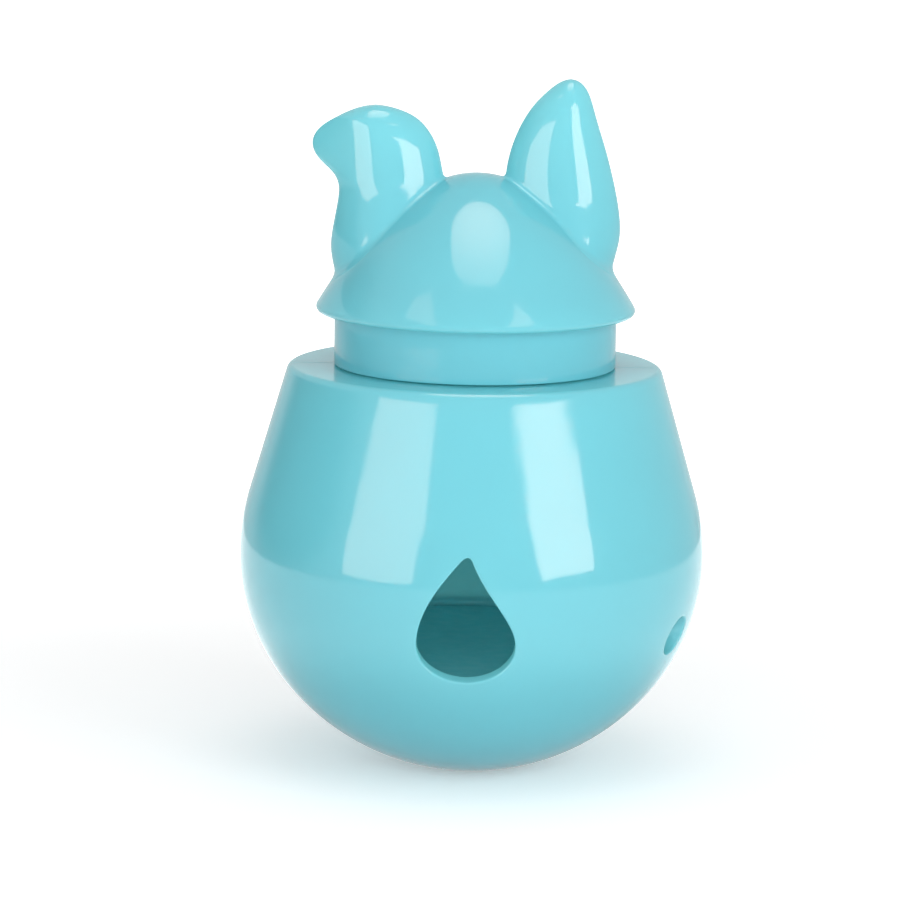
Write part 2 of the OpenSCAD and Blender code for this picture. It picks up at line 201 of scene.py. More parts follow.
def arc(centre, radius, start, end, step=2.5):
    """Points of a half section along an arc, from start to end in degrees."""
    count = max(3, math.ceil(abs(end - start) / step))
    turns = [math.radians(start + (end - start) * k / count) for k in range(count + 1)]
    return [(centre[0] + radius * math.cos(a), centre[1] + radius * math.sin(a)) for a in turns]


def line(start, end, count, support=0.25 * MM, most=0.3):
    """Points along a straight line of a half section, with one close to each end for flat shading."""
    start, end = Vector(start), Vector(end)
    near = min(most, support / (end - start).length)
    shares = [0, near] + [k / count for k in range(1, count)] + [1 - near, 1]
    return [tuple(start.lerp(end, s)) for s in sorted(set(shares))]


def joined(*runs, least=1e-7):
    """One list of points from several runs, each point once where two runs meet."""
    points = []
    for run in runs:
        for p in run:
            if not points or math.dist(p, points[-1]) > least:
                points.append(tuple(p))
    return points


def rounded(corners, soft, counts, step=22):
    """Points along straight lines with rounded right-angled corners, up to the last rounding's end."""
    corners = np.array(corners)
    ways = np.diff(corners, axis=0)
    ways /= np.linalg.norm(ways, axis=1)[:, None]
    runs = []
    start = corners[0]
    for corner, way, turn, count in zip(corners[1:], ways, ways[1:], counts):
        first = math.degrees(math.atan2(-turn[1], -turn[0]))
        swing = 90 * (way[0] * turn[1] - way[1] * turn[0])
        runs.append(line(start, corner - soft * way, count))
        runs.append(arc(corner + soft * (turn - way), soft, first, first + swing, step))
        start = corner + soft * turn
    return joined(*runs)


def outward(points):
    """Outward normals of a half section that is drawn with its solid on the left."""
    along = np.gradient(np.array(points), axis=0)
    normals = np.stack([along[:, 1], -along[:, 0]], axis=1)
    return normals / np.linalg.norm(normals, axis=1)[:, None]


def bezier(a, b, c, t):
    """Point at t on the curve from a to c that is drawn towards b."""
    return (1 - t) ** 2 * a + 2 * t * (1 - t) * b + t ** 2 * c


def crossing(inside, low, high, steps=50):
    """The values just before and just past the place where a test that holds at low ceases to."""
    for _ in range(steps):
        middle = (low + high) / 2
        if inside(middle):
            low = middle
        else:
            high = middle
    return low, high


def new_object(bm, name, material):
    """Turns a bmesh into an object of the scene."""
    mesh = bpy.data.meshes.new(name)
    bm.to_mesh(mesh)
    bm.free()
    mesh.materials.append(material)
    made = bpy.data.objects.new(name, mesh)
    bpy.context.scene.collection.objects.link(made)
    return made


def new_piece(bm, name, material, body, sharp=40):
    """Turns a bmesh into a smooth shaded piece that rides on a body, with any true normals it carries."""
    bmesh.ops.recalc_face_normals(bm, faces=bm.faces)
    piece = new_object(bm, name, material)
    mesh = piece.data
    mesh.shade_smooth()
    mesh.set_sharp_from_angle(angle=math.radians(sharp))
    stored = mesh.attributes.get("true_normal")
    if stored:
        normals = np.zeros(len(mesh.vertices) * 3, np.float32)
        stored.data.foreach_get("vector", normals)
        mesh.normals_split_custom_set_from_vertices(normals.reshape(-1, 3).tolist())
        mesh.attributes.remove(mesh.attributes["true_normal"])
    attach(piece, body)
    return piece


def add_face(bm, *corners):
    """A face from its corners, if at least three of them differ."""
    corners = list(dict.fromkeys(corners))
    if len(corners) > 2:
        bm.faces.new(corners)


def bridge(bm, *loops):
    """Faces between closed loops of as many vertices, from each loop to the next."""
    for first, second in zip(loops, loops[1:]):
        for i in range(len(first)):
            n = (i + 1) % len(first)
            add_face(bm, first[i], first[n], second[n], second[i])


def revolve(points, columns=144):
    """A bmesh turned round the axis from a half section that is closed or has both ends on the axis."""
    bm = bmesh.new()
    turns = [2 * math.pi * k / columns for k in range(columns)]
    rows = []
    for r, z in points:
        if abs(r) < TINY:
            rows.append([bm.verts.new((0, 0, z))] * columns)
        else:
            rows.append([bm.verts.new(around(r, a, z)) for a in turns])
    if max(abs(points[0][0]), abs(points[-1][0])) > TINY:
        rows.append(rows[0])
    bridge(bm, *rows)
    return bm


# Materials

def set_inputs(node, inputs):
    """Gives each input of a node its value, or links it from an output or from a node's first output."""
    for name, value in inputs.items():
        if isinstance(value, bpy.types.Node):
            value = value.outputs[0]
        if isinstance(value, bpy.types.NodeSocket):
            node.id_data.links.new(value, node.inputs[name])
        else:
            node.inputs[name].default_value = value


def add_node(tree, kind, inputs, **settings):
    """A new shader node with its settings and inputs."""
    made = tree.nodes.new(f"ShaderNode{kind}")
    for name, value in settings.items():
        setattr(made, name, value)
    set_inputs(made, inputs)
    return made


def math_node(tree, operation, *values):
    """A node that works out a value from others."""
    return add_node(tree, "Math", dict(enumerate(values)), operation=operation)


def map_range(tree, value, before, after=(0, 1), way="LINEAR"):
    """A node that takes a value from one range to another."""
    ends = {"From Min": before[0], "From Max": before[1], "To Min": after[0], "To Max": after[1]}
    return add_node(tree, "MapRange", {"Value": value, **ends}, interpolation_type=way)


def object_place(tree):
    """The place on an object, in metres from its origin."""
    return add_node(tree, "TexCoord", {}).outputs["Object"]


def new_material(name):
    """A new material, its node tree and its own shader."""
    material = bpy.data.materials.new(name)
    material.use_nodes = True
    return material, material.node_tree, material.node_tree.nodes["Principled BSDF"]


def new_group(name, given, results):
    """A node group with its inputs' values and its results' kinds, what it is given and its last node."""
    group = bpy.data.node_groups.new(name, "ShaderNodeTree")
    for socket, value in given.items():
        kind = "NodeSocketColor" if isinstance(value, tuple) else "NodeSocketFloat"
        group.interface.new_socket(name=socket, in_out="INPUT", socket_type=kind).default_value = value
    for socket, kind in results.items():
        group.interface.new_socket(name=socket, in_out="OUTPUT", socket_type=kind)
    return group, group.nodes.new("NodeGroupInput").outputs, group.nodes.new("NodeGroupOutput")


# Moulded plastic: noise scales per metre of its colour drift, gloss drift and mould ripple, and the gloss
# drift's range as shares of the mean roughness
DRIFT_SCALE = 38
GLOSS_SCALE = 420
RIPPLE_SCALE = 150
GLOSS_NOISE = 0.3, 0.7
GLOSS_SHARES = 0.75, 1.35
# Rub marks: noise scale per metre, stretch, slant and the part of the noise that shows as marks
RUB_SCALE = 300
RUB_STRETCH = 1, 1, 0.12
RUB_SLANT = 0.5, 0.35, 0.2
RUB_NOISE = 0.62, 0.78
RUB_ROUGHNESS = 0.12
PLASTIC_IOR = 1.58
SILICONE_IOR = 1.41
# How light that passes into the shell differs from the shell's colour
PASSING_SHADE = {"Hue": 0.44, "Saturation": 0.52, "Value": 1.25}


def moulded_surface():
    """Node group: the faint colour drift, gloss drift and mould ripple of moulded plastic."""
    group, given, result = new_group(
        "Moulded Surface",
        {"Colour": (0.5, 0.5, 0.5, 1), "Drift": 0.05, "Roughness": 0.1, "Ripple Scale": RIPPLE_SCALE},
        {"Colour": "NodeSocketColor", "Roughness": "NodeSocketFloat", "Height": "NodeSocketFloat"})
    place = object_place(group)
    broad = add_node(group, "TexNoise", {"Vector": place, "Scale": DRIFT_SCALE, "Detail": 2})
    lowest = math_node(group, "MULTIPLY_ADD", given["Drift"], -0.5, 1)
    drift = math_node(group, "MULTIPLY_ADD", broad, given["Drift"], lowest)
    shade = add_node(group, "HueSaturation", {"Color": given["Colour"], "Value": drift})
    fine = add_node(group, "TexNoise", {"Vector": place, "Scale": GLOSS_SCALE, "Detail": 4})
    polish = map_range(group, fine, GLOSS_NOISE, GLOSS_SHARES)
    rough = math_node(group, "MULTIPLY", polish, given["Roughness"])
    ripple = add_node(group, "TexNoise", {"Vector": place, "Scale": given["Ripple Scale"], "Detail": 1.5})
    set_inputs(result, {"Colour": shade, "Roughness": rough, "Height": ripple})
    return group


def handling_marks():
    """Node group: a mask of sparse fine rub marks."""
    group, given, result = new_group("Handling Marks", {"Amount": 0.5, "Scale": RUB_SCALE},
                                     {"Mask": "NodeSocketFloat"})
    stretch = add_node(group, "Mapping", {"Vector": object_place(group), "Scale": RUB_STRETCH,
                                          "Rotation": RUB_SLANT})
    rubs = add_node(group, "TexNoise", {"Vector": stretch, "Scale": given["Scale"], "Detail": 6})
    marks = map_range(group, rubs, RUB_NOISE)
    set_inputs(result, {"Mask": math_node(group, "MULTIPLY", marks, given["Amount"])})
    return group


def shared_group(name, build):
    """A node group by name, built the first time it is asked for."""
    return bpy.data.node_groups.get(name) or build()


def moulded_plastic(name, colour, roughness, ripple, drift=0.06, marks=0.4, passing=0):
    """A moulded material: drifted colour, uneven gloss, rub marks, ripple and some light let through."""
    found = bpy.data.materials.get(name)
    if found:
        return found
    material, tree, shader = new_material(name)
    surface = add_node(tree, "Group", {"Colour": (*colour, 1), "Drift": drift, "Roughness": roughness},
                       node_tree=shared_group("Moulded Surface", moulded_surface)).outputs
    rubbed = add_node(tree, "Group", {"Amount": marks},
                      node_tree=shared_group("Handling Marks", handling_marks))
    set_inputs(shader, {
        "IOR": PLASTIC_IOR,
        "Base Color": surface["Colour"],
        "Roughness": math_node(tree, "MULTIPLY_ADD", rubbed, RUB_ROUGHNESS, surface["Roughness"]),
        "Normal": add_node(tree, "Bump", {"Distance": ripple, "Height": surface["Height"]}),
    })
    if passing:
        paler = add_node(tree, "HueSaturation", {"Color": surface["Colour"], **PASSING_SHADE})
        through = add_node(tree, "BsdfTranslucent", {"Color": paler})
        mixed = add_node(tree, "MixShader", {"Fac": passing, 1: shader, 2: through})
        set_inputs(tree.nodes["Material Output"], {"Surface": mixed})
    return material


def finish_values():
    """The colours and gloss that the user may change."""
    return bpy.context.scene.feeder_finish


def shell_gloss():
    """Glossy turquoise plastic of the shells, hat and ears."""
    values = finish_values()
    return moulded_plastic("shell gloss", values.shell, values.shell_roughness, ripple=0.03 * MM,
                           passing=values.shell_passing)


def inner_satin():
    """Satin turquoise plastic of the floor and the inner cup."""
    values = finish_values()
    return moulded_plastic("inner satin", values.inner, values.inner_roughness, ripple=0.02 * MM)


def seal_silicone():
    """Soft white silicone of the seal."""
    material = moulded_plastic("seal silicone", finish_values().silicone, roughness=0.5, ripple=0.01 * MM,
                               drift=0.03)
    set_inputs(material.node_tree.nodes["Principled BSDF"],
               {"IOR": SILICONE_IOR, "Subsurface Weight": 0.3, "Subsurface Scale": 1 * MM})
    return material


def cast_iron():
    """Rough sand-cast iron of the counterweight."""
    return moulded_plastic("cast iron", finish_values().iron, roughness=0.62, ripple=0.25 * MM, drift=0.5,
                           marks=0.8)


def plated_zinc():
    """Bright zinc plating of the screws."""
    material = moulded_plastic("plated zinc", finish_values().zinc, roughness=0.19, ripple=0.004 * MM,
                               drift=0.12, marks=0.8)
    set_inputs(material.node_tree.nodes["Principled BSDF"], {"Metallic": 1})
    return material


def dress(node, material):
    """Gives a carried-over CAD node its material."""
    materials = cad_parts[node].data.materials
    materials.clear()
    materials.append(material)


# Body shells

class BodyForm:
    """The body's round base, belly arc and tapered side, worked out from its sizes."""

    def __init__(self, size):
        self.size = size
        self.base_r = size.radius + size.base_extra
        self.base_z = math.sqrt(self.base_r ** 2 - size.foot_radius ** 2)
        self.belly_r = size.radius - size.belly_offset
        fall = math.sqrt((size.base_extra + size.belly_offset) ** 2 - size.belly_offset ** 2)
        self.belly_z = self.base_z - fall
        self.belly_turn = -math.degrees(math.atan2(fall, size.belly_offset))
        self.taper = size.side_taper
        self.shoulder = size.neck_top - size.neck_height

    def radius(self, z, inset):
        """Radius of the wall at a height, drawn in by inset."""
        belly = self.belly_r - inset
        low = self.belly_z + belly * math.sin(math.radians(self.belly_turn))
        high = self.belly_z + belly * math.sin(self.taper)
        if z < low:
            return math.sqrt(max(0, (self.base_r - inset) ** 2 - (z - self.base_z) ** 2))
        if z < high:
            return self.size.belly_offset + math.sqrt(belly ** 2 - (z - self.belly_z) ** 2)
        return self.size.belly_offset + belly * math.cos(self.taper) - (z - high) * math.tan(self.taper)

    def place(self, turn, z, inset):
        """Point of the wall at an angle from the front and a height."""
        return around(self.radius(z, inset), turn, z)

    def normal(self, turn, z, inset, step=0.01 * MM):
        """Normal of the wall at an angle and a height, away from the wall's middle."""
        slope = (self.radius(z + step, inset) - self.radius(z - step, inset)) / (2 * step)
        return around(1, turn, -slope).normalized() * (-1 if inset else 1)

    def hit(self, start, way, inset):
        """Point where a line that starts near the wall meets it."""
        reach = 5 * self.size.wall

        def inside(run):
            p = start + way * run
            return math.hypot(p.x, p.y) < self.radius(p.z, inset)

        return start + way * crossing(inside, -reach, reach)[0]

    def edge(self, inset):
        """Centre of the shoulder's rounding and its end on the tapered side, drawn in by inset."""
        soft = self.size.shoulder_round
        z = self.shoulder - inset - soft
        r = self.radius(z, inset) - soft / math.cos(self.taper)
        return (r, z), (r + soft * math.cos(self.taper), z + soft * math.sin(self.taper))


# The wall's band in which the outlets are cut
BAND_ROWS = 24
BAND_LOW = 15 * MM
BAND_HIGH = 45 * MM


def band(form, low, high, inset):
    """Evenly spaced points of the wall between two heights."""
    heights = [low + (high - low) * k / BAND_ROWS for k in range(BAND_ROWS + 1)]
    return [(form.radius(z, inset), z) for z in heights]


def wall_arc(form, inset, low_z, high_z):
    """Points of the round base and lower belly between two heights."""
    belly = form.belly_r - inset
    base = form.base_r - inset
    low = math.degrees(math.asin((low_z - form.base_z) / base))
    high = math.degrees(math.asin((high_z - form.belly_z) / belly))
    return joined(arc((0, form.base_z), base, low, form.belly_turn),
                  arc((form.size.belly_offset, form.belly_z), belly, form.belly_turn, high))


def shell_section(form):
    """Closed half section of the body, and the row numbers of the outer and inner band."""
    size = form.size
    taper = math.degrees(form.taper)
    soft, foot = size.small_round, size.foot_step
    neck, bore, top, shoulder = size.neck_radius, size.neck_bore, size.neck_top, form.shoulder
    ceiling = shoulder - size.wall
    centre, side_end = form.edge(0)
    in_centre, in_side_end = form.edge(size.wall)
    above = size.floor_top + size.ring_height
    below = size.floor_top - size.floor_thickness
    lowest = below - size.ring_height

    def ring(z):
        return form.radius(z, size.wall + size.ring_width), z

    def inside(z):
        return form.radius(z, size.wall), z

    outer_band = band(form, BAND_LOW, BAND_HIGH, 0)
    points = joined(
        [(0, foot)],
        line((0.5 * size.foot_radius, foot), (form.radius(foot, 0), foot), 2),
        wall_arc(form, 0, foot, BAND_LOW),
        outer_band,
    )
    outer_rows = (len(points) - 1 - BAND_ROWS, len(points) - 1)
    neck_corners = ((centre[0], shoulder), (neck, shoulder), (neck, top), (bore, top), (bore, ceiling),
                    (in_centre[0], ceiling))
    points = joined(
        points,
        line(outer_band[-1], side_end, 8),
        arc(centre, size.shoulder_round, taper, 90, 8),
        rounded(neck_corners, soft, (4, 3, 2, 3)),
        line((bore + soft, ceiling), neck_corners[-1], 3),
        arc(in_centre, size.shoulder_round, 90, taper, 12),
        line(in_side_end, inside(BAND_HIGH), 6),
        reversed(band(form, above, BAND_HIGH, size.wall)),
    )
    inner_rows = (len(points) - 1 - BAND_ROWS, len(points) - 1)
    points = joined(
        points,
        [ring(above), ring(size.floor_top), inside(size.floor_top), inside(below - size.fit),
         ring(below - size.fit), ring(lowest), inside(lowest)],
        reversed(wall_arc(form, size.wall, size.wall, lowest)),
        [(0, size.wall)],
    )
    return points, outer_rows, inner_rows


class Outlet:
    """A hole cut through the wall: its outline in the cutting plane, the plane's axes and the cut's way.

    The wall's grid opens some columns to each side of a turn in degrees, and crowding draws the points
    along the outline closer together at its top.
    """

    def __init__(self, outline, origin, axes, turn, columns, crowding):
        self.outline = outline
        self.origin = Vector(origin)
        self.across, self.up, self.way = (Vector(axis) for axis in axes)
        self.turn = turn
        self.columns = columns
        self.crowding = crowding

    def starts(self, count, reach=1.5 * MM):
        """As many points of the closed outline, evenly spaced but for the crowding near its first point."""
        loop = self.outline
        closed = np.concatenate([loop, loop[:1]])
        steps = np.linalg.norm(np.diff(closed, axis=0), axis=1)
        near = np.linalg.norm(loop - loop[0], axis=1)
        run = np.concatenate([[0], np.cumsum(steps * (1 + self.crowding * np.exp(-near / reach)))])
        wanted = run[-1] * np.arange(count) / count
        spaced = zip(*(np.interp(wanted, run, closed[:, k]) for k in (0, 1)))
        return [self.origin + self.across * p + self.up * q for p, q in spaced]


def cubic(a, b, c, d, shares):
    """Points at some shares of the curve from a to d that is drawn towards b and then c."""
    a, b, c, d = (np.array(p, float) for p in (a, b, c, d))
    s = np.array(shares)[:, None]
    return (1 - s) ** 3 * a + 3 * s * (1 - s) ** 2 * b + 3 * s ** 2 * (1 - s) * c + s ** 3 * d


# Where the drop's flanks are drawn to, as shares of its half width and of its tip's height
RIGHT_FLANK = (0.27, 0.62), (1, 0.30), (1, 0)
LEFT_FLANK = (-0.63, 0.65), (-1, 0.33), (-1, 0)


def drop_outline(size):
    """Dense closed outline of the drop, from its rounded tip down the right flank and back up the left."""
    half, rise = size.drop_width / 2, size.drop_tip
    tip = np.array((size.drop_lean, rise))
    shares = np.linspace(size.drop_tip_share, 1, 90)
    right, left = (cubic(tip, *np.array(flank) * (half, rise), shares) for flank in (RIGHT_FLANK, LEFT_FLANK))
    left = left[::-1]
    turns = np.linspace(0, -math.pi, 120)
    low = np.stack([half * np.cos(turns), size.drop_bulb * np.sin(turns)], axis=1)
    pulls = [(end + 2 * tip) / 3 for end in (left[-1], right[0])]
    crest = cubic(left[-1], *pulls, right[0], np.linspace(0, 1, 21))
    top = len(crest) // 2
    return np.concatenate([crest[top:-1], right[:-1], low[:-1], left[:-1], crest[:top]])


def round_outline(radius):
    """Dense closed outline of a round hole, from its top and clockwise as seen from outside."""
    turns = np.linspace(math.pi / 2, -1.5 * math.pi, 241)[:-1]
    return np.stack([radius * np.cos(turns), radius * np.sin(turns)], axis=1)


# Shares along the rounding of an outlet's outer and inner rim that get a loop of vertices
OUTER_RIM_SHARES = 0.25, 0.5, 0.75, 1
INNER_RIM_SHARES = 0, 0.33, 0.67


def cut_outlet(bm, layer, form, outlet, rows_out, rows_in):
    """Fills the gap left in the wall's grid with a patch that has the outlet in it."""
    size = form.size
    count = len(rows_out)
    starts = outlet.starts(count)
    outer = [form.hit(s, outlet.way, 0) for s in starts]
    inner = [form.hit(s, outlet.way, size.wall) for s in starts]
    middle = sum(outer, Vector()) / count

    def on_wall(p):
        """Angle and height of a point."""
        return math.atan2(p.x, -p.y), p.z

    def rim(points, inset, amount, deeper):
        """Where the rim's rounding begins on the wall, and where it ends in the cut."""
        flat, turned = [], []
        for i, p in enumerate(points):
            along = (points[(i + 1) % count] - points[i - 1]).normalized()
            away = along.cross(form.normal(*on_wall(p), inset)).normalized()
            if away.dot(p - middle) < 0:
                away = -away
            flat.append(on_wall(p + away * amount))
            turned.append(p + deeper[i] * amount)
        return flat, turned

    def spread_loops(params, border, inset, steps=7, crowding=1.4):
        """Loops on the wall from the outlet to the patch's border, closer together at the outlet."""
        edge = [on_wall(v.co) for v in border]
        loops = []
        for k in range(steps):
            s = (k / steps) ** crowding
            loop = []
            for a, b in zip(params, edge):
                turn, z = (p + (q - p) * s for p, q in zip(a, b))
                loop.append(bm.verts.new(form.place(turn, z, inset)))
                loop[-1][layer] = form.normal(turn, z, inset)
            loops.append(loop)
        return loops

    def rim_loops(starts, corners, ends, shares):
        """Loops along the rim's rounding."""
        return [[bm.verts.new(bezier(a, b, c, t)) for a, b, c in zip(starts, corners, ends)] for t in shares]

    ways_in = [(b - a).normalized() for a, b in zip(outer, inner)]
    flat_out, turned_out = rim(outer, 0, size.rim_round, ways_in)
    flat_in, turned_in = rim(inner, size.wall, size.rim_round_inside, [-w for w in ways_in])
    rim_out = [form.place(*f, 0) for f in flat_out]
    rim_in = [form.place(*f, size.wall) for f in flat_in]
    bridge(bm, rows_out,
           *reversed(spread_loops(flat_out, rows_out, 0)),
           *rim_loops(rim_out, outer, turned_out, OUTER_RIM_SHARES),
           *rim_loops(turned_in, inner, rim_in, INNER_RIM_SHARES),
           *spread_loops(flat_in, rows_in, size.wall),
           rows_in)


def add_foot_pad(bm, size, side):
    """This half's share of the low pad under the base, sunk into the wall and soft at its lower edge."""
    soft = 0.3 * size.foot_step
    levels = ((size.foot_step + 0.5 * size.wall, 0), (soft, 0), (0.3 * soft, 0.3 * soft), (0, soft))
    turns = [2 * math.pi * k / size.foot_sides for k in range(size.foot_sides // 2 + 1)]
    loops = []
    for z, inset in levels:
        r = size.foot_radius - inset
        loops.append([bm.verts.new((r * math.cos(a), -r * math.sin(a) * side, z)) for a in turns])
    bridge(bm, *loops)
    bm.faces.new(loops[0])
    bm.faces.new(loops[-1])


# Columns of the wall's grid, in degrees from the front
COLUMN_STEP = 2.0
LAST_COLUMN = 87.0
# The seam groove's greatest share of the radius, for rows close to the axis
GROOVE_SHARE = 0.02


def shell_half(form, side, outlets):
    """One half of the body as a closed bmesh, side 1 for the front and -1 for the rear."""
    size = form.size
    points, outer_rows, inner_rows = shell_section(form)
    normals = outward(points)
    first = outlets[0].turn if outlets else 0
    reach = int(LAST_COLUMN / COLUMN_STEP) + 2
    turns = [first + COLUMN_STEP * k for k in range(-reach, reach + 1)]
    turns = [t for t in turns if abs(t) <= LAST_COLUMN]
    bm = bmesh.new()
    layer = bm.verts.layers.float_vector.new("true_normal")
    insets = {i: size.wall for i in range(inner_rows[0] + 1, inner_rows[1])}
    insets.update((i, 0) for i in range(outer_rows[0], outer_rows[1] + 1))
    neck_foot = (size.neck_radius + size.small_round, form.shoulder)
    outside_end = min(range(len(points)), key=lambda k: math.dist(points[k], neck_foot))

    grid = []
    for i, (r, z) in enumerate(points):
        if r < TINY:
            grid.append([bm.verts.new((0, 0, z))] * (len(turns) + 4))
            continue
        fine = min(size.seam_groove, GROOVE_SHARE * r)
        low_r, low_z = r - fine * normals[i][0], z - fine * normals[i][1]
        near = math.sqrt(r * r - fine * fine)
        lips = [bm.verts.new((way * near, -fine * side, z)) for way in (-1, 1)]
        if i < outside_end:
            for lip, way in zip(lips, (-1, 1)):
                lip[layer] = Vector((way * normals[i][0], 0, normals[i][1]))
        row = [bm.verts.new((-low_r, 0, low_z)), lips[0]]
        turned = Vector((1, side, 1))
        for t in turns:
            v = bm.verts.new(around(r, math.radians(t), z) * turned)
            if i in insets:
                v[layer] = form.normal(math.radians(t), z, insets[i]) * turned
            row.append(v)
        grid.append(row + [lips[1], bm.verts.new((low_r, 0, low_z))])

    gaps = []
    for outlet in outlets:
        column = min(range(len(turns)), key=lambda k: abs(turns[k] - outlet.turn)) + 2
        gaps.append((outlet, column - outlet.columns, column + outlet.columns))

    def in_gap(i, j):
        return any(rows[0] <= i < rows[1] and low <= j < high
                   for _, low, high in gaps for rows in (outer_rows, inner_rows))

    for i, (row, following) in enumerate(zip(grid, grid[1:])):
        for j in range(len(row) - 1):
            if not in_gap(i, j):
                add_face(bm, row[j], row[j + 1], following[j + 1], following[j])
    for edge in (0, -1):
        bm.faces.new([row[edge] for row in grid])

    def border(bottom, top, low, high):
        """Vertices round a gap, from the middle of its top towards larger angles and back."""
        climb = 1 if top > bottom else -1
        centre = (low + high) // 2
        loop = [grid[top][j] for j in range(centre, high)]
        loop += [grid[i][high] for i in range(top, bottom, -climb)]
        loop += [grid[bottom][j] for j in range(high, low, -1)]
        loop += [grid[i][low] for i in range(bottom, top, climb)]
        return loop + [grid[top][j] for j in range(low, centre)]

    for outlet, low, high in gaps:
        cut_outlet(bm, layer, form, outlet, border(*outer_rows, low, high),
                   border(*reversed(inner_rows), low, high))
    add_foot_pad(bm, size, side)
    # The grid's own vertices inside the gaps have no faces
    bmesh.ops.delete(bm, geom=[v for v in bm.verts if not v.link_faces], context="VERTS")
    return bm


class FEEDER_OT_body_shells(Operator):
    """Build the front and rear half shells with their outlets, neck and seam."""
    bl_idname = "feeder.body_shells"
    bl_label = "Body Shells"

    def execute(self, context):
        size = context.scene.feeder_body
        form = BodyForm(size)
        tilt = size.drop_tilt
        face = -math.sqrt(form.base_r ** 2 - (form.base_z - size.drop_height) ** 2)
        axes = (1, 0, 0), (0, -math.sin(tilt), math.cos(tilt)), (0, -math.cos(tilt), -math.sin(tilt))
        turn = math.degrees(math.asin(size.drop_side / size.radius))
        drop = Outlet(drop_outline(size), (size.drop_side, face, size.drop_height), axes, turn,
                      columns=10, crowding=3)
        out = math.sqrt(form.radius(size.hole_height, 0) ** 2 - size.hole_front ** 2)
        axes = (0, 1, 0), (0, 0, 1), (1, 0, 0)
        turn = math.degrees(math.atan2(out, size.hole_front))
        hole = Outlet(round_outline(size.hole_radius), (out, -size.hole_front, size.hole_height), axes, turn,
                      columns=6, crowding=0)
        front = shell_half(form, 1, [drop, hole])
        rear = shell_half(form, -1, [])
        for bm, name, node in ((front, "front_half", "front_shell"), (rear, "rear_half", "rear_shell")):
            piece = new_piece(bm, name, shell_gloss(), "body")
            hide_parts(node)
        return {"FINISHED"}


class FEEDER_OT_weight_and_floor(Operator):
    """Finish the chamber floor, the counterweight and its screw."""
    bl_idname = "feeder.weight_and_floor"
    bl_label = "Weight and Floor"

    def execute(self, context):
        dress("floor_disc", inner_satin())
        dress("counterweight", cast_iron())
        dress("weight_screw", plated_zinc())
        return {"FINISHED"}


# Lid

class HatForm:
    """The hat's rounded top, side curve, slightly bowed flank and brim, worked out from its sizes."""

    def __init__(self, size):
        self.size = size
        self.brim_under = size.foot + size.collar_height
        self.brim_z = self.brim_under + size.brim_round
        self.brim_mid = size.brim_radius - size.brim_round
        lean, bow = size.flank_angle, size.flank_bow
        low = Vector((self.brim_mid + size.brim_round * math.cos(lean - bow),
                      self.brim_z + size.brim_round * math.sin(lean - bow)))
        self.high = low + size.flank_length * Vector((-math.sin(lean), math.cos(lean)))
        steep = Vector((math.cos(lean + bow), math.sin(lean + bow)))
        self.flank_r = size.flank_length / (2 * math.sin(bow))
        self.flank = self.high - self.flank_r * steep
        self.apex_sine = math.sin(size.apex_turn)
        self.crown_r = (self.high.x - size.apex_round * self.apex_sine) / (steep.x - self.apex_sine)
        self.crown = self.high - self.crown_r * steep
        self.apex = Vector((0, self.crown.y + (self.crown_r - size.apex_round) * math.cos(size.apex_turn)))

    def height(self, r):
        """Height of the hat's outside at a distance from the axis."""
        if r < self.size.apex_round * self.apex_sine:
            centre, radius = self.apex, self.size.apex_round
        elif r < self.high.x:
            centre, radius = self.crown, self.crown_r
        else:
            centre, radius = self.flank, self.flank_r
        return centre.y + math.sqrt(radius ** 2 - (r - centre.x) ** 2)

    def section(self):
        """Closed half section, from the top down the outside and back up the inside."""
        size = self.size
        rise = 90 - math.degrees(size.apex_turn)
        lean, bow = math.degrees(size.flank_angle), math.degrees(size.flank_bow)
        collar, bore, foot, under = size.collar_radius, size.collar_bore, size.foot, self.brim_under
        hollow = bore - size.ledge
        seat = CUP_BOX[1].z
        inner_r = self.crown_r - size.wall
        low_angle = math.degrees(math.acos((hollow - self.crown.x) / inner_r))
        collar_corners = (self.brim_mid, under), (collar, under), (collar, foot), (bore, foot)
        inside = joined(arc(self.apex, size.apex_round - size.wall, 90, rise, 5),
                        arc(self.crown, inner_r, rise, low_angle, 4))
        return joined(
            arc(self.apex, size.apex_round, 90, rise, 2),
            arc(self.crown, self.crown_r, rise, lean + bow, 1.5),
            arc(self.flank, self.flank_r, lean + bow, lean - bow, 0.5),
            arc((self.brim_mid, self.brim_z), size.brim_round, lean - bow, -90, 7),
            rounded(collar_corners, size.small_round, (2, 5)),
            [(bore, foot), (bore, seat), (hollow, seat)],
            reversed(inside),
        )


class FEEDER_OT_hat(Operator):
    """Build the hat with its brim and collar."""
    bl_idname = "feeder.hat"
    bl_label = "Hat"

    def execute(self, context):
        form = HatForm(context.scene.feeder_lid)
        piece = new_piece(revolve(form.section(), 180), "hat", shell_gloss(), "lid")
        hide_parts("lid_cap")
        return {"FINISHED"}


def cup_section(size):
    """Half section of the inner cup, from the middle of its top to the middle of its ceiling."""
    foot, top, outer, bore = CUP_BOX[0].z, CUP_BOX[1].z, CUP_BOX[1].x, size.cup_bore
    ceiling = top - size.cup_ceiling
    inset = 0.4
    corners = ((inset * bore, ceiling), (bore, ceiling), (bore, foot), (outer, foot), (outer, top),
               (inset * outer, top))
    section = joined(
        [(0, ceiling)],
        rounded(corners, size.small_round, (3, 3, 2, 3)),
        line((outer - size.small_round, top), corners[-1], 3),
        [(0, top)],
    )
    return section[::-1]


def seal_section(soft, hole):
    """Closed half section of the seal ring, with rounded edges."""
    low, high, rim = SEAL_BOX[0].z, SEAL_BOX[1].z, SEAL_BOX[1].x
    centres = ((rim - soft, low + soft), (rim - soft, high - soft), (hole + soft, high - soft),
               (hole + soft, low + soft))
    return joined(*(arc(centre, soft, 90 * k - 90, 90 * k, 22) for k, centre in enumerate(centres)))


